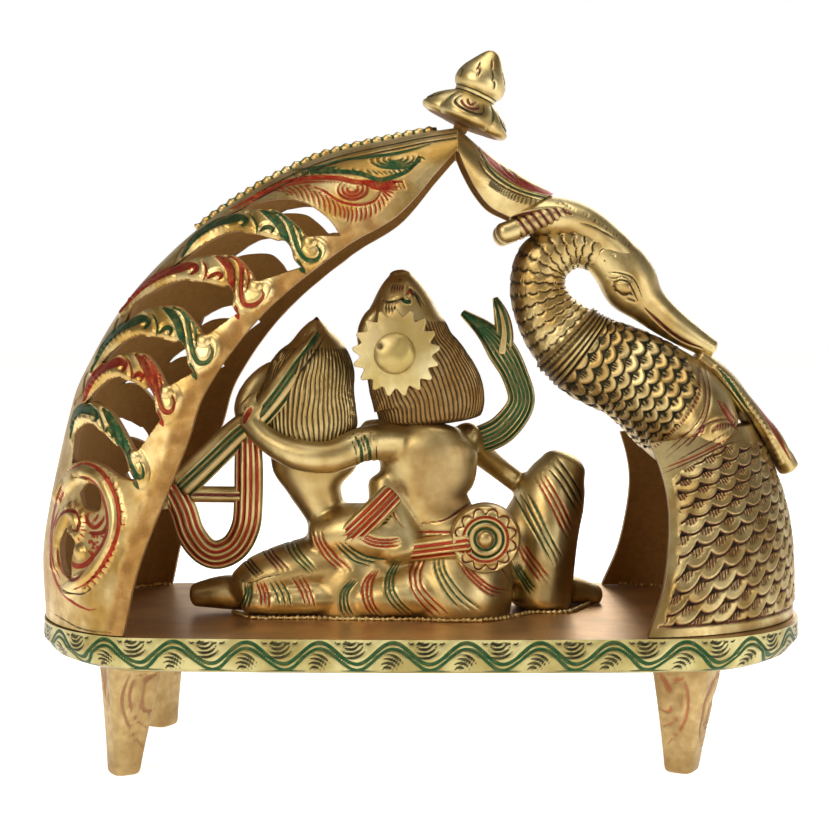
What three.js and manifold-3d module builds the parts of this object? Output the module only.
// A cast brass group: two lovers seated under a canopy that is half peacock tail, half swan.
// Millimetres, +Z up. The origin is on the ground, under the middle of the footed base.
// The pair sit with their backs to -Y. The tail hood is at -X and the swan at +X.
import * as THREE from 'three';
import { mergeVertices } from 'three/addons/utils/BufferGeometryUtils.js';
import Module from 'manifold-3d';

const wasm = await Module();
wasm.setup();

// Driving dimensions
const FLOOR_Z = 43;
const GAP = 0.3;
const BASE_HALF_LENGTH = 113.5;
const BASE_HALF_WIDTH = 55;
const BASE_END_RADIUS = 50;
const BASE_CORNER = 0.9;
const RIM_HEIGHT = 9.6;
const FLOOR_THICKNESS = 4;
const RIM_WALL = 4;
const LEG_SQUARENESS = 0.5;
const HOOD_WALL = 4;
const HOLLOW_STEPS = 6;
const HOLLOW_SIDES = 6;
const SEAM_X = 10.9;
const APEX_RIDGE_Z = 188.5;
const APEX_EDGE_Z = 180.5;
const APEX_HALF_WIDTH = 20;
const SWAN_FAR_EDGE_SHIFT = -3.3;
const SCALE_ROWS = 7;
const SCALES_ACROSS = 16;
const SCALE_LIFT = 1.1;
const FINIAL_TILT = THREE.MathUtils.degToRad(23.6);
const DISC_TEETH = 13;

// Small curve and solid helpers

// Catmull-Rom value at t in 0..1 through equally spaced rows of numbers.
function along(rows, t) {
  const last = rows.length - 1;
  const place = Math.min(Math.max(t, 0), 1) * last;
  const i = Math.min(Math.floor(place), last - 1);
  const f = place - i;
  const p1 = rows[i];
  const p2 = rows[i + 1];
  const p0 = i > 0 ? rows[i - 1] : p1.map((v, k) => 2 * v - p2[k]);
  const p3 = i < last - 1 ? rows[i + 2] : p2.map((v, k) => 2 * v - p1[k]);
  return p1.map((v, k) => 0.5 * (2 * v + (p2[k] - p0[k]) * f
    + (2 * p0[k] - 5 * v + 4 * p2[k] - p3[k]) * f * f
    + (3 * v - p0[k] - 3 * p2[k] + p3[k]) * f * f * f));
}

// A closed mesh from its points and triangles, turned so that its faces point out.
function closedGeometry(points, triangles) {
  let volume = 0;
  const cross = new THREE.Vector3();
  for (const [a, b, c] of triangles) {
    volume += points[a].dot(cross.crossVectors(points[b], points[c]));
  }
  const index = triangles.flatMap(([a, b, c]) => (volume < 0 ? [a, c, b] : [a, b, c]));
  const positions = points.flatMap((p) => [p.x, p.y, p.z]);
  const geometry = new THREE.BufferGeometry();
  geometry.setAttribute('position', new THREE.Float32BufferAttribute(positions, 3));
  geometry.setIndex(index);
  return geometry;
}

// Rings of equal count joined in order, with a fan over each end.
function loft(rings) {
  const count = rings[0].length;
  const points = rings.flat();
  const triangles = [];
  for (let r = 0; r < rings.length - 1; r += 1) {
    for (let i = 0; i < count; i += 1) {
      const a = r * count + i;
      const b = r * count + (i + 1) % count;
      triangles.push([a, b, a + count], [b, b + count, a + count]);
    }
  }
  for (const [start, flip] of [[0, true], [(rings.length - 1) * count, false]]) {
    const middle = new THREE.Vector3();
    for (let i = 0; i < count; i += 1) middle.addScaledVector(points[start + i], 1 / count);
    points.push(middle);
    for (let i = 0; i < count; i += 1) {
      const a = start + i;
      const b = start + (i + 1) % count;
      triangles.push(flip ? [b, a, points.length - 1] : [a, b, points.length - 1]);
    }
  }
  return closedGeometry(points, triangles);
}

// Solid of a closed geometry, ready to be joined or cut.
function solid(geometry) {
  const bare = geometry.clone();
  bare.deleteAttribute('normal');
  bare.deleteAttribute('uv');
  const merged = mergeVertices(bare, 1e-4);
  return new wasm.Manifold(new wasm.Mesh({
    numProp: 3,
    vertProperties: new Float32Array(merged.attributes.position.array),
    triVerts: new Uint32Array(merged.index.array),
  }));
}

// A limb through stations [x, y, z, half width, half depth]; the depth is measured towards Y.
// Each end is drawn in to a nose, bulge times the smaller half size long, or cut flat at 0.
function limb(stations, sides, steps, bulge = 0.45) {
  const noseWidth = 0.55;
  const rings = [];
  for (let k = 0; k <= steps; k += 1) {
    const t = k / steps;
    const [x, y, z, w, d] = along(stations, t);
    const before = new THREE.Vector3(...along(stations, Math.max(t - 0.02, 0)));
    const after = new THREE.Vector3(...along(stations, Math.min(t + 0.02, 1)));
    const run = after.sub(before).normalize();
    const deep = new THREE.Vector3(0, 1, 0).addScaledVector(run, -run.y).normalize();
    const wide = new THREE.Vector3().crossVectors(run, deep);
    const ring = (shift, scale) => Array.from({ length: sides }, (_, i) => {
      const angle = (2 * Math.PI * i) / sides;
      return new THREE.Vector3(x, y, z).addScaledVector(run, shift)
        .addScaledVector(wide, w * scale * Math.cos(angle))
        .addScaledVector(deep, d * scale * Math.sin(angle));
    });
    const nose = Math.min(w, d) * bulge;
    if (k === 0 && bulge > 0) rings.push(ring(-nose, noseWidth));
    rings.push(ring(0, 1));
    if (k === steps && bulge > 0) rings.push(ring(nose, noseWidth));
  }
  return solid(loft(rings));
}

// A flat shape in X and Z, through points [x, z], pushed through from one depth to the other.
function plate(outline, fromY, toY, smoothCount = 0) {
  const corners = outline.map(([x, z]) => new THREE.Vector3(x, z, 0));
  const smooth = () => new THREE.CatmullRomCurve3(corners, true).getPoints(smoothCount).slice(0, -1);
  const path = smoothCount > 0 ? smooth() : corners;
  const shape = new THREE.Shape(path.map((p) => new THREE.Vector2(p.x, p.y)));
  const geometry = new THREE.ExtrudeGeometry(shape, { depth: toY - fromY, bevelEnabled: false });
  return solid(geometry.rotateX(Math.PI / 2).translate(0, toY, 0));
}

const join = (solids) => solids.reduce((whole, piece) => whole.add(piece));

function mesh(name, body, colour, roughness) {
  const result = body.getMesh();
  const geometry = new THREE.BufferGeometry();
  geometry.setAttribute('position', new THREE.Float32BufferAttribute(result.vertProperties, 3));
  geometry.setIndex(Array.from(result.triVerts));
  const finish = new THREE.MeshStandardMaterial({ color: colour, roughness, metalness: 1 });
  const piece = new THREE.Mesh(geometry, finish);
  piece.name = name;
  return piece;
}

// Footed base: an oval floor with a turned-down rim on four tapered legs

// The oval: straight long sides and blunt half-elliptic ends, drawn in at the ends and at the sides.
function ovalRing(z, endInset, sideInset = endInset, count = 28) {
  const straight = BASE_HALF_LENGTH - BASE_END_RADIUS;
  return Array.from({ length: count }, (_, i) => {
    const angle = (2 * Math.PI * i) / count;
    const c = Math.cos(angle);
    const s = Math.sin(angle);
    const end = Math.abs(c) ** BASE_CORNER * (BASE_END_RADIUS - endInset);
    const x = Math.sign(c) * (end + straight * Math.min(1, Math.abs(c) * 3));
    const y = Math.sign(s) * Math.abs(s) ** BASE_CORNER * (BASE_HALF_WIDTH - sideInset);
    return new THREE.Vector3(x, y, z);
  });
}

// A leg through rows [z, x, y, half size]; its section is a rounded square, one corner facing outwards.
function leg(rows, turn) {
  const sides = 8;
  const square = (v, half) => Math.sign(v) * Math.abs(v) ** LEG_SQUARENESS * half;
  const rings = rows.map(([z, x, y, half]) => Array.from({ length: sides }, (_, i) => {
    const angle = (2 * Math.PI * i) / sides;
    const u = square(Math.cos(angle), half);
    const v = square(Math.sin(angle), half);
    const across = u * Math.cos(turn) - v * Math.sin(turn);
    const inwards = u * Math.sin(turn) + v * Math.cos(turn);
    return new THREE.Vector3(x + across, y + inwards, z);
  }));
  return solid(loft(rings));
}

// Each leg: where it stands, where it meets the floor, and how far its corner is turned.
const LEGS = [
  { foot: [-85.9, -32], top: [-83.6, -30], footHalf: 4.1, topHalf: 8.4, turn: 30 },
  { foot: [76, -28], top: [77.6, -28], footHalf: 4.3, topHalf: 9.4, turn: -30 },
  { foot: [-84.6, 31], top: [-86, 30], footHalf: 4.8, topHalf: 8.8, turn: -30 },
  { foot: [84.6, 31], top: [86, 30], footHalf: 4.8, topHalf: 8.8, turn: 30 },
];

function footedBase() {
  const bottom = FLOOR_Z - RIM_HEIGHT;
  const slab = solid(loft([
    ovalRing(bottom, 6.5, 1.8), ovalRing(bottom + 1.2, 3, 0.4),
    ovalRing(bottom + 4.5, 0), ovalRing(FLOOR_Z, 0.2),
  ]));
  const recess = solid(loft([
    ovalRing(bottom - 1, RIM_WALL + 5), ovalRing(FLOOR_Z - FLOOR_THICKNESS, RIM_WALL + 3),
  ]));
  const legs = LEGS.map(({ foot, top, footHalf, topHalf, turn }) => {
    const rows = [0, 1.2, 16, bottom + 1, FLOOR_Z - 1].map((z) => {
      const f = Math.min(z / bottom, 1);
      const half = footHalf + (topHalf - footHalf) * f ** 1.15;
      const softEdge = z === 0 ? 0.5 : 0;
      return [z, foot[0] + (top[0] - foot[0]) * f, foot[1] + (top[1] - foot[1]) * f, half - softEdge];
    });
    return leg(rows, THREE.MathUtils.degToRad(turn));
  });
  return join([slab.subtract(recess), ...legs]);
}

// Hoods: each is a bowed shell that stands on the floor, open towards the middle

// Rows are [edge x, edge z, ridge x, ridge z, half depth, fullness], from the floor up.
const TAIL_ROWS = [
  [-82.7, FLOOR_Z + GAP, -113.4, FLOOR_Z + GAP, 51, 1.35],
  [-77.7, 64, -113.7, 66, 50.5, 1.3],
  [-65.7, 95, -106.4, 101, 46, 1.15],
  [-59.7, 112, -100.6, 117, 43, 1.1],
  [-44.2, 133, -86, 140, 38, 1.05],
  [-22.7, 151, -62, 162.4, 32, 1],
  [-6.7, 161, -33, 178.9, 27, 1],
  [4.8, 174, -5, 186, 22, 1],
  [SEAM_X - GAP, APEX_EDGE_Z, SEAM_X - GAP, APEX_RIDGE_Z, APEX_HALF_WIDTH, 1],
];
const SWAN_ROWS = [
  [63.3, FLOOR_Z + GAP, 112.6, FLOOR_Z + GAP, 52, 1.1],
  [68, 56, 112.4, 57, 48, 1.1],
  [70.3, 70, 111.5, 69, 42, 1.05],
  [70.5, 80, 109, 80, 36.5, 1],
  [69, 88, 105, 90, 32, 1],
  [66.5, 95.5, 100.5, 100, 28, 1],
];
const CREST_ROWS = [
  [SEAM_X, APEX_EDGE_Z, SEAM_X, APEX_RIDGE_Z, APEX_HALF_WIDTH, 1],
  [13, 175.5, 17.5, 183, 18.5, 1],
  [16.3, 169.5, 24.5, 178, 16.5, 1],
  [20.5, 164.5, 32.5, 173.2, 14.5, 1],
  [26.5, 161.3, 40, 169, 12.5, 1],
];

// A point of a hood: t runs up it, s runs from the near edge (-1) over the ridge (0) to the far edge (1).
function hoodPoint(rows, t, s, inset = 0, farShift = 0, lift = 0) {
  const [ex, ez, rx, rz, half, fullness] = along(rows, t);
  const angle = (s * Math.PI) / 2;
  const c = Math.max(Math.cos(angle), 0) ** fullness;
  const span = Math.hypot(rx - ex, rz - ez);
  const reach = (span - inset + lift) / span;
  const shift = Math.max(0, Math.sin(angle)) * (1 - c) * farShift;
  return new THREE.Vector3(
    ex + (rx - ex) * reach * c + shift,
    (half - inset + lift) * Math.sin(angle),
    ez + (rz - ez) * reach * c,
  );
}

// One ring of a hood's hollow: the bowed wall from edge to edge, then straight back across the opening.
function hollowRing(rows, t, farShift) {
  const pastOpening = 6;
  const ring = Array.from({ length: HOLLOW_SIDES + 1 }, (_, j) => {
    return hoodPoint(rows, t, (2 * j) / HOLLOW_SIDES - 1, HOOD_WALL, farShift);
  });
  const [ex, ez, rx, rz] = along(rows, t);
  const forward = new THREE.Vector3(ex - rx, 0, ez - rz).setLength(pastOpening);
  ring.push(ring[HOLLOW_SIDES].clone().add(forward), ring[0].clone().add(forward));
  return ring;
}

// The shell of a hood: its outer form, with lift as relief, less a plainer hollow that runs out at the
// open front and at both ends.
function hoodShell(rows, steps, across, farShift = 0, lift = () => 0) {
  const pastEnd = 5;
  const outer = Array.from({ length: steps + 1 }, (_, i) => {
    return Array.from({ length: across + 1 }, (__, j) => {
      return hoodPoint(rows, i / steps, (2 * j) / across - 1, 0, farShift, lift(i, j));
    });
  });
  const hollow = Array.from({ length: HOLLOW_STEPS + 1 }, (_, i) => {
    return hollowRing(rows, i / HOLLOW_STEPS, farShift);
  });
  const runOut = (end, before) => {
    const way = end[0].clone().sub(before[0]).setY(0).setLength(pastEnd);
    return end.map((p) => p.clone().add(way));
  };
  const first = runOut(hollow[0], hollow[1]);
  const last = runOut(hollow[HOLLOW_STEPS], hollow[HOLLOW_STEPS - 1]);
  return solid(loft(outer)).subtract(solid(loft([first, ...hollow, last])));
}

// Tail: a pierced hood of scrolls, with a rope along its ridge and a roundel at its foot

// The depth of the tail's outer face at x, z, on the near (-1) or the far side (1).
function onTail(x, z, side) {
  const turn = (t) => {
    const [ex, ez, rx, rz] = along(TAIL_ROWS, t);
    return (x - ex) * (rz - ez) - (z - ez) * (rx - ex);
  };
  const sign = Math.sign(turn(0));
  let low = 0;
  let high = 1;
  for (let k = 0; k < 40; k += 1) {
    const middle = (low + high) / 2;
    if (Math.sign(turn(middle)) === sign) low = middle;
    else high = middle;
  }
  const [ex, ez, rx, rz, half, fullness] = along(TAIL_ROWS, low);
  const share = Math.min(Math.hypot(x - ex, z - ez) / Math.hypot(rx - ex, rz - ez), 1);
  return side * half * Math.sin(Math.acos(share ** (1 / fullness)));
}

// A raised band on the tail through points [x, z, half width].
function tailBand(points, height, steps, side = -1) {
  const stations = points.map(([x, z, w]) => [x, onTail(x, z, side), z, w, height]);
  return limb(stations, 4, steps, 0);
}

// The five scrolls of the tail, each set out by three marks [x, z]: its root on the ridge, the top of its
// crest and the middle of the curl that it ends in.
const SCROLLS = [
  { root: [-70.6, 149], crest: [-44.5, 163.1], curl: [-31, 152.6] },
  { root: [-89.9, 133.2], crest: [-56.6, 149.8], curl: [-46.2, 140] },
  { root: [-97.5, 115.6], crest: [-72.1, 135.2], curl: [-60.5, 124.5] },
  { root: [-99, 106.4], crest: [-80, 121.7], curl: [-70.6, 110.4] },
  { root: [-103, 96.8], crest: [-89.8, 105.8], curl: [-79.4, 92.2] },
];

// One scroll's lines in shares of its own marks: [a, b] lies a from root to crest and b from crest to curl.
// The band is [a, b, half width]; under is its lower edge down to its foot, and over its upper edge.
const SCROLL_BAND = [
  [0.1, -0.04, 1], [0.4, -0.14, 2], [0.72, -0.1, 2.8], [0.93, 0.1, 3.2], [0.96, 0.45, 2.8],
  [0.88, 0.85, 2.4], [0.83, 1.2, 2], [0.94, 1.3, 1.8], [1.04, 1.1, 1.5], [0.99, 0.95, 1.2],
];
const SCROLL_UNDER = [[0.14, 0.06], [0.42, 0.02], [0.64, 0.14], [0.82, 0.64], [0.74, 1.28]];
const SCROLL_OVER = [[1.1, 0.86], [1.07, 0.35], [0.94, -0.08], [0.7, -0.28]];

// The other edges of the first and the last opening, and the two openings in the roundel.
const LEAF_UNDER = [[-50, 164.9], [-40.8, 166.3], [-31, 163.8], [-22.8, 155]];
const ROUNDEL_OVER = [[-84.6, 86.8], [-90, 89.6], [-96, 90.6], [-101, 89.4]];
const ROUNDEL_HOLES = [
  [[-97.4, 81.6], [-94.7, 84.5], [-91.2, 83.6], [-90, 80], [-91, 77], [-95.5, 77.7]],
  [[-101.8, 71.2], [-103.7, 66.5], [-102.5, 59.7], [-99.4, 57.5], [-99.2, 63], [-98.4, 68.4]],
];

function inScroll({ root, crest, curl }, [a, b, ...rest]) {
  const place = root.map((v, k) => v + a * (crest[k] - v) + b * (curl[k] - crest[k]));
  return [...place, ...rest];
}

// Every opening lies between the lower edge of one form and the upper edge of the next.
function openings() {
  const lower = [LEAF_UNDER, ...SCROLLS.map((marks) => SCROLL_UNDER.map((p) => inScroll(marks, p)))];
  const upper = [...SCROLLS.map((marks) => SCROLL_OVER.map((p) => inScroll(marks, p))), ROUNDEL_OVER];
  return [...lower.map((edge, i) => [...edge, ...upper[i]]), ...ROUNDEL_HOLES];
}

// The far side's openings are smaller: each is drawn in towards a place in its own box, [across, up].
const FAR_OPENINGS = [
  { size: 0.7, towards: [1, 1] }, { size: 0.7, towards: [1, 1] }, { size: 0.55, towards: [1, 0] },
  { size: 0.6, towards: [1, 0.2] }, { size: 0.5, towards: [0.3, 1] }, { size: 0.6, towards: [0.2, 0.8] },
  { size: 0.7, towards: [1, 0.5] }, { size: 0.7, towards: [1, 0.5] },
];

function drawnIn(outline, { size, towards }) {
  const pin = towards.map((share, k) => {
    const values = outline.map((p) => p[k]);
    const low = Math.min(...values);
    return low + share * (Math.max(...values) - low);
  });
  return outline.map((p) => p.map((v, k) => pin[k] + size * (v - pin[k])));
}

// The roundel's raised border and the curl inside it, then the leaf near the apex.
const ROUNDEL = [
  [-97, 86, 1.5], [-88.5, 84.5, 1.8], [-83.3, 77.5, 1.8], [-83.4, 68, 1.8], [-87.5, 56.5, 1.8],
  [-93.5, 50.5, 1.8], [-101, 55.5, 1.8], [-107, 66, 1.8], [-107.5, 75.5, 1.5],
];
const ROUNDEL_CURL = [
  [-107, 74, 1.4], [-101, 82, 1.8], [-99, 74, 1.8], [-95, 72, 1.6], [-92.5, 67.5, 1.6], [-95, 61.5, 1.4],
];
const LEAF = [[-60, 163.6, 1], [-46, 168, 2.2], [-30, 169.3, 3.6], [-19, 167.2, 5], [-8, 168, 2.4]];

function tailCanopy() {
  const scrolls = SCROLLS.flatMap((marks) => {
    const points = SCROLL_BAND.map((p) => inScroll(marks, p));
    return [tailBand(points, 1.6, 6), tailBand(points, 1.6, 3, 1)];
  });
  const ornament = [tailBand(ROUNDEL, 1.4, 7), tailBand(ROUNDEL_CURL, 1.4, 5), tailBand(LEAF, 1.3, 4)];
  const ropeHeights = [0.3, 0.4, 0.5, 0.6, 0.7, 0.8, 0.85];
  const rope = limb(ropeHeights.map((t) => {
    const p = hoodPoint(TAIL_ROWS, t, 0);
    return [p.x, 0, p.z, 1, 2.2];
  }), 4, 7, 0);
  const pierced = openings().reduce((body, outline, i) => {
    const near = plate(outline, -BASE_HALF_WIDTH, 0);
    const far = plate(drawnIn(outline, FAR_OPENINGS[i]), 0, BASE_HALF_WIDTH);
    return body.subtract(near).subtract(far);
  }, hoodShell(TAIL_ROWS, 11, 10));
  return join([pierced, rope, ...scrolls, ...ornament]);
}

// Swan: the scaled hood is its body; neck, turned head, crest and wing are cast on

// Stations [x, y, z, half width, half depth]: the neck climbs out of the body and bends over at the nape.
const NECK = [
  [85, 0, 90, 15, 27], [81, 0, 97.5, 15.8, 26.5], [74.7, 0, 106.5, 15.5, 22], [63.5, 0, 114.3, 13.8, 16.5],
  [51.3, 0, 119.7, 13, 13], [42.4, 0, 127, 11, 10.5], [37.3, 0, 134, 9.2, 9], [35.3, 0, 141.5, 8.3, 8.5],
  [37.4, 0, 149, 8.2, 8], [45.7, 0, 153.8, 7.2, 7.6], [53.5, 0, 152.4, 7, 7.2],
];
// The head comes down from the nape, and its beak rests on the swan's back.
const HEAD = [
  [53.6, 0, 152.6, 6.6, 6.8], [60, 0, 146.8, 8.2, 8], [64.1, 0, 140.6, 8.4, 8.3], [68.7, 0, 135.5, 6.1, 6.6],
  [74.8, 0, 130.4, 4.9, 5.2], [82, 0, 125.6, 3.9, 4.6], [87.8, 0, 122.2, 3, 3.8],
];
const COLLAR = [[46.3, 0, 123.3, 13, 12.6], [44.4, 0, 125.3, 12.6, 12.2]];
const MANE = [
  [27, 0, 163, 5.5, 10.5], [37, 0, 162, 6.5, 10], [48, 0, 160, 6, 8.5], [57, 0, 153.5, 5.5, 7.4],
  [63, 0, 147.5, 5, 6.8],
];
const WING = [
  [84, 0, 119.5, 3, 6], [91, 0, 113.3, 3.4, 8], [99, 0, 103.6, 3.6, 9], [106.5, 0, 94, 3.6, 9],
  [111.5, 0, 86.4, 3.2, 6.5],
];

// The tuft at the root of the crest, on the near (-1) or the far side (1).
function tuft(side) {
  const rows = [
    [24.6, 10.5, 156.6, 3, 3.2], [30, 9.5, 158.6, 3, 3.2], [37, 8.5, 161.4, 2.6, 2.8],
    [43, 7.4, 162.8, 1.6, 1.8],
  ];
  return limb(rows.map(([x, y, z, w, d]) => [x, side * y, z, w, d]), 6, 3);
}

// Each row of scales is a step that overhangs the one below, with a toothed lower edge.
function scaleLift(i, j) {
  const atLowerEdge = i % 2 === 1;
  if (!atLowerEdge || j === 0 || j === SCALES_ACROSS) return 0;
  const row = (i - 1) / 2;
  return (row + j) % 2 === 0 ? SCALE_LIFT : 0.4 * SCALE_LIFT;
}

function swanCanopy() {
  const body = hoodShell(SWAN_ROWS, 2 * SCALE_ROWS, SCALES_ACROSS, SWAN_FAR_EDGE_SHIFT, scaleLift);
  const neck = limb(NECK, 8, 9, 0);
  const collar = limb(COLLAR, 8, 1, 0);
  const head = limb(HEAD, 8, 6, 0.5);
  const eyes = [-1, 1].map((side) => {
    return solid(new THREE.SphereGeometry(2, 6, 4).translate(61.9, side * 7, 140.6));
  });
  const crest = hoodShell(CREST_ROWS, 5, 8);
  const mane = limb(MANE, 7, 4, 0);
  const wing = limb(WING, 6, 5, 0.5);
  return join([body, neck, collar, head, ...eyes, crest, mane, tuft(-1), tuft(1), wing]);
}

// Finial: a four-lobed umbrella under a bulb, leaning on its pin over the seam of the two hoods

// Rows are [height along the axis, radius, how deep the four lobes are].
const FINIAL_ROWS = [
  [-2, 2.2, 0], [2.4, 2.4, 0], [2.6, 10.4, 0.1], [3.6, 12.2, 0.13], [5.6, 10.6, 0.12], [8.6, 8.6, 0.05],
  [11.2, 6.2, 0], [12.8, 7.4, 0], [16, 7.6, 0], [18.6, 6.2, 0], [20.8, 3.8, 0], [23.6, 3, 0], [25.2, 1.4, 0],
];
const FINIAL_FOOT = [11.9, 0, APEX_RIDGE_Z - 0.2];

// The pin's foot is shaped to the hoods' tops, a small gap above them.
function finial(hoods) {
  const sides = 12;
  const rings = FINIAL_ROWS.map(([height, radius, lobes]) => Array.from({ length: sides }, (_, i) => {
    const angle = (2 * Math.PI * i) / sides;
    const reach = radius * (1 + lobes * Math.cos(4 * angle));
    return new THREE.Vector3(reach * Math.cos(angle), reach * Math.sin(angle), height);
  }));
  const leaning = solid(loft(rings).rotateY(FINIAL_TILT).translate(...FINIAL_FOOT));
  return hoods.reduce((body, hood) => body.subtract(hood.translate([0, 0, GAP])), leaning);
}

// Krishna and Radha: one casting, seated side by side with their backs to -Y

// Stations of an upright form from rows [x, z, half width, half depth] at a depth y.
const upright = (rows, y) => rows.map(([x, z, w, d]) => [x, y, z, w, d]);

// A calm, plain face: nose and mouth on the +Y side of a head, in shares of the head's size.
function face(x, y, z, size) {
  const feature = (rows, sides) => limb(rows.map(([across, out, up, w, d]) => {
    return [x + across * size, y + out * size, z + up * size, w * size, d * size];
  }), sides, 2, 0.4);
  const nose = feature([
    [0, 0, 0.2, 0.08, 0.08], [0, 0.1, -0.04, 0.1, 0.13], [0, 0.12, -0.16, 0.16, 0.16],
  ], 5);
  const mouth = feature([
    [-0.16, -0.14, -0.34, 0.07, 0.14], [0, -0.09, -0.35, 0.09, 0.16], [0.16, -0.14, -0.34, 0.07, 0.14],
  ], 4);
  return [nose, mouth];
}

// The toothed disc on the back of the crown, with a domed middle.
function crownDisc(x, y, z, radius) {
  const thickness = 5.5;
  const outline = Array.from({ length: 2 * DISC_TEETH }, (_, i) => {
    const angle = (Math.PI * i) / DISC_TEETH;
    const r = i % 2 === 0 ? radius : 0.87 * radius;
    return [x + r * Math.cos(angle), z + r * Math.sin(angle)];
  });
  const dome = new THREE.SphereGeometry(0.46 * radius, 7, 4).scale(1, 0.5, 1).translate(x, y, z);
  return [plate(outline, y, y + thickness), solid(dome)];
}

function krishna() {
  const torso = limb(upright([
    [3.5, 98.6, 9, 7], [2.9, 94.6, 14.2, 9], [2.3, 90.5, 14.8, 9.5], [2.9, 84.2, 14, 9], [3.8, 76.8, 11.3, 8],
    [6.8, 71.4, 9.8, 8.5], [9.4, 64.9, 12.5, 11], [10.3, 57.5, 16.3, 15], [10.3, 49, 17.2, 17],
    [10.3, 42.5, 16.6, 16],
  ], -9), 8, 7, 0);
  const hair = limb(upright([
    [-6.1, 146.6, 1.2, 1.4], [-5.9, 141.8, 4.8, 4.6], [-5.6, 136.5, 8.6, 7.8], [-5.2, 130.2, 11.8, 10],
    [-3.7, 122.7, 13.4, 11], [-0.7, 115.2, 15.4, 11], [2.3, 107.7, 16.4, 10], [2.9, 101.6, 15, 8.5],
  ], -7), 8, 5, 0);
  const head = limb(upright([
    [-3, 129, 7, 7], [-2.5, 122, 9.6, 9.6], [-2, 114, 9.2, 9.4], [-1, 107, 6.4, 7], [0, 100, 5.5, 6],
  ], 3), 8, 3, 0.3);
  const leftArm = limb([
    [-3, -10, 94, 6, 6], [-15.4, -16, 94.6, 5.4, 5.4], [-26.4, -20, 90.9, 4.8, 4.8],
    [-36.7, -20, 91.8, 4.5, 4.5], [-45.4, -18.5, 96.1, 3.6, 3.7], [-50.6, -17, 101.6, 3.6, 3.2],
  ], 6, 5, 0);
  const rightArm = limb([
    [13.4, -6, 96, 4.8, 5], [17.6, 0, 91, 3.9, 4], [24.5, 6, 85, 3.4, 3.4], [33, 8, 78.5, 3.4, 3.4],
  ], 6, 3, 0);
  const scarf = limb([
    [12.5, -4, 94.5, 3, 2.6], [18, -3, 94.8, 4, 2.4], [25.1, -2, 98.3, 4.2, 2.2], [30.3, -2, 106, 3.9, 2],
    [28.4, -2, 114.4, 3.8, 2], [24.4, -2, 121.7, 4.2, 2], [19.6, -2, 127.6, 2.8, 1.8],
    [12.8, -2, 133, 0.9, 1.2],
  ], 5, 8, 0);
  const scarfTip = limb([
    [24.4, -2, 121, 3.2, 2], [25.1, -2, 127.1, 2.6, 1.9], [24.2, -2, 132.6, 2, 1.7],
    [22.5, -2, 137.4, 0.7, 1],
  ], 5, 2, 0);
  const foldedLeg = limb([
    [18, -7, 50, 10, 15], [5.9, -9, 50, 10.2, 15.5], [-3.9, -11, 49.8, 9.3, 14.5],
    [-14.9, -12.5, 48.6, 7.7, 12.5], [-20.5, -13, 47.8, 6, 9.5],
  ], 7, 3);
  const raisedShin = limb([
    [36.5, 2, 45.5, 9.5, 14], [37.8, 3, 56.7, 9.4, 14], [38.3, 3, 65.9, 10, 13.5], [39.4, 4, 75, 10.7, 12],
    [41.5, 5, 81.2, 9.5, 10.5], [43.8, 6, 86, 7.2, 8],
  ], 7, 4, 0.6);
  const raisedThigh = limb([
    [26, 3, 55, 9, 12], [33.5, 4, 67, 9.5, 11], [40.5, 5, 79, 8.6, 9.5], [45, 6, 86.6, 5, 6.5],
  ], 7, 3, 0.7);
  const apron = limb([[-11, -9, 83, 5, 6], [-5.5, -12, 62, 9, 10]], 7, 1, 0);
  const foot = limb([[36, 8, 47, 5, 6], [46, 11, 47, 4.6, 6], [55, 12, 45.2, 3, 5]], 5, 2);
  const medallion = limb([[19, -24.2, 67.1, 9.8, 9.8], [18.4, -20, 67.1, 10.6, 10.6]], 9, 1, 0);
  const belt = limb([
    [-5, -15, 62.5, 3.2, 4.6], [6, -21, 64.4, 3.2, 2.6], [14, -22.4, 65.6, 3.4, 2.6],
  ], 4, 3, 0);
  return [torso, hair, head, leftArm, rightArm, scarf, scarfTip, foldedLeg, raisedShin, raisedThigh, apron,
    foot, medallion, belt, ...crownDisc(-7.1, -21.4, 121.5, 12.9), ...face(-2, 12.6, 116, 18)];
}

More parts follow.
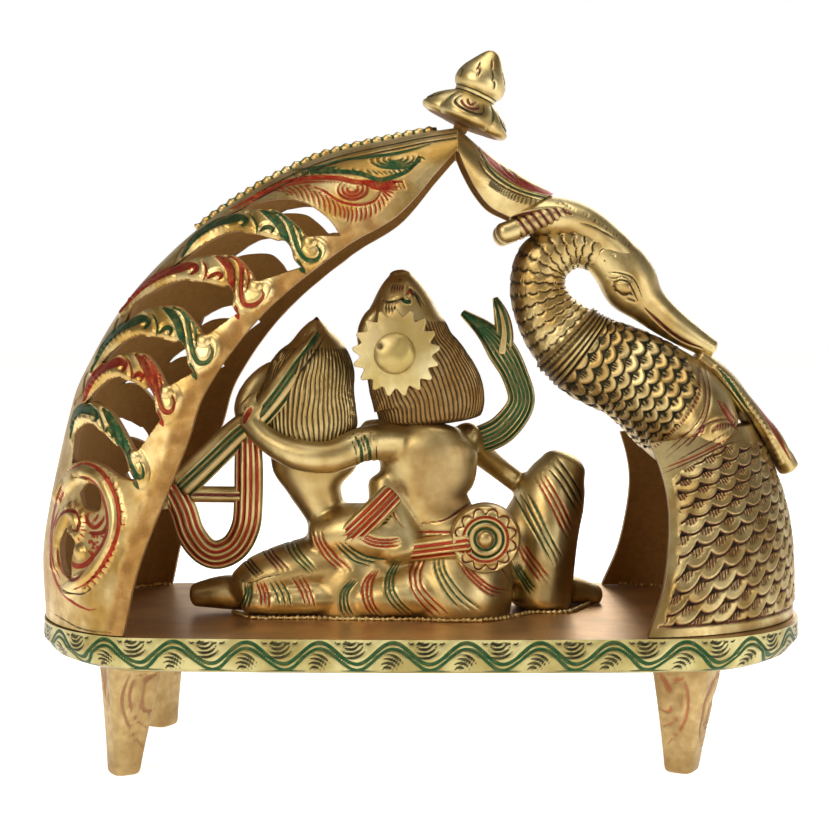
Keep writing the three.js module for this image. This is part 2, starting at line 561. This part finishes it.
function radha() {
  const torso = limb(upright([
    [-33.5, 99.5, 8, 6.5], [-31.6, 94.3, 13, 8], [-32, 86.5, 12.6, 8], [-31.5, 80.8, 8.6, 7.5],
    [-30, 76.4, 6.8, 7], [-28, 71.9, 6.4, 7], [-25.5, 65.9, 9.4, 9], [-21, 58.4, 13.5, 13],
    [-21, 49.4, 15, 15], [-21, 42.5, 14.4, 14],
  ], -8), 7, 7, 0);
  const hair = limb(upright([
    [-31, 131.4, 1, 1.2], [-31.3, 127.2, 5.1, 5], [-31.3, 122.7, 9, 8.4], [-31.9, 117.5, 11.9, 10.4],
    [-33.1, 111.5, 13, 11], [-33.7, 105, 14, 10.4], [-33.3, 97, 14, 9.6], [-31.6, 89.6, 9.8, 8.6],
  ], -9), 8, 5, 0);
  const head = limb(upright([
    [-31.5, 121, 6, 6.4], [-32, 115, 8.4, 8.8], [-32, 108, 7.8, 8.4], [-32, 102, 5, 6], [-32, 96, 4.6, 5.4],
  ], 1), 8, 3, 0.3);
  const raisedArm = limb([
    [-40, -4, 96.6, 4.4, 4.6], [-48, -6, 100, 4.3, 4.6], [-52, -6, 103.5, 4.2, 4.4],
    [-50.6, -5, 109, 4, 4], [-47, -3, 113.6, 3.6, 3.6], [-44.2, 0, 116.2, 2.8, 3],
  ], 5, 5, 0);
  const veil = limb([
    [-36.5, -17, 117.5, 3.4, 2.2], [-42, -18.4, 109.5, 3.6, 2.2], [-48, -17, 102.6, 3.6, 2.4],
    [-54.5, -16, 97.4, 4, 2.2], [-62, -14, 90.2, 4.1, 2.2], [-71, -12, 81.8, 4.3, 2.2],
  ], 4, 4, 0);
  const sash = limb([
    [-76, -10, 83, 3.6, 2.4], [-74.1, -10, 80.1, 4, 2.4], [-71.2, -10, 74, 4.1, 2.2],
    [-69, -10, 67.4, 4.1, 2.2], [-65.2, -10, 62.3, 4.1, 2.2], [-60.8, -10, 60.7, 4.1, 2.2],
    [-55.6, -10, 63.2, 4.1, 2.2], [-52.2, -11, 69.5, 4.1, 2.2], [-51.3, -12, 78, 4.1, 2.2],
    [-51, -14, 88, 4, 2.2], [-51, -15.4, 97, 3.6, 2.2],
  ], 4, 11, 0);
  const bridge = limb([[-68, -11, 79, 2.2, 1.8], [-53, -12, 79, 2.2, 1.8]], 4, 1, 0);
  const tassel = solid(new THREE.BoxGeometry(7.4, 6, 10).rotateY(-0.12).translate(-78.4, -9, 79));
  const thigh = limb([
    [-8, -6, 56, 10.5, 13], [-24.1, -7, 57.2, 10, 13.5], [-36, -9, 56.4, 8.8, 12.5],
    [-47.2, -11, 53.6, 7.6, 11], [-52.5, -12, 51.2, 6, 8.5],
  ], 7, 3);
  const hip = limb([[-30, -10, 66, 7, 9], [-20, -11, 67.5, 9, 11], [-8, -11, 66, 8, 10]], 6, 1, 0);
  const shin = limb([[-22, -11, 49, 6.2, 11], [-42, -14, 48.2, 5.2, 10], [-51, -14, 47.6, 4.2, 8]], 6, 2);
  const foot = limb([[-50, -6, 48.6, 5.4, 8], [-60, -6, 48.8, 5, 7], [-68, -6, 48, 3.6, 5]], 5, 2);
  const waistBand = limb([
    [-30.5, -17, 61.6, 3.3, 2.6], [-22.6, -20, 68, 3.3, 2.6], [-14.5, -18, 75, 3.3, 2.6],
  ], 4, 3, 0);
  return [torso, hair, head, raisedArm, veil, sash, bridge, tassel, hip, thigh, shin, foot, waistBand,
    ...face(-32, 9.4, 110, 16)];
}

function krishnaAndRadha() {
  const laps = limb([
    [-36, 8, 52, 8, 9], [-20, 10, 53, 8.5, 9], [0, 10, 52, 8.5, 9], [18, 8, 51, 9, 9],
  ], 6, 2, 0);
  const shoulders = limb([[-16, -6, 96, 5, 6], [-6, -7, 96, 6, 7]], 6, 1, 0);
  const pair = join([...krishna(), ...radha(), laps, shoulders]);
  const size = 240;
  const below = solid(new THREE.BoxGeometry(size, size, size).translate(0, 0, FLOOR_Z + GAP - size / 2));
  return pair.subtract(below);
}

const statue = new THREE.Group();
statue.add(mesh('footed_base', footedBase(), 0xb49a5c, 0.38));
const tail = tailCanopy();
const swan = swanCanopy();
statue.add(mesh('tail_canopy', tail, 0xc4a052, 0.36));
statue.add(mesh('swan_canopy', swan, 0xc9a85a, 0.34));
statue.add(mesh('krishna_and_radha', krishnaAndRadha(), 0xcfae5e, 0.3));
statue.add(mesh('finial', finial([tail, swan]), 0xc8a95c, 0.36));

export default statue;
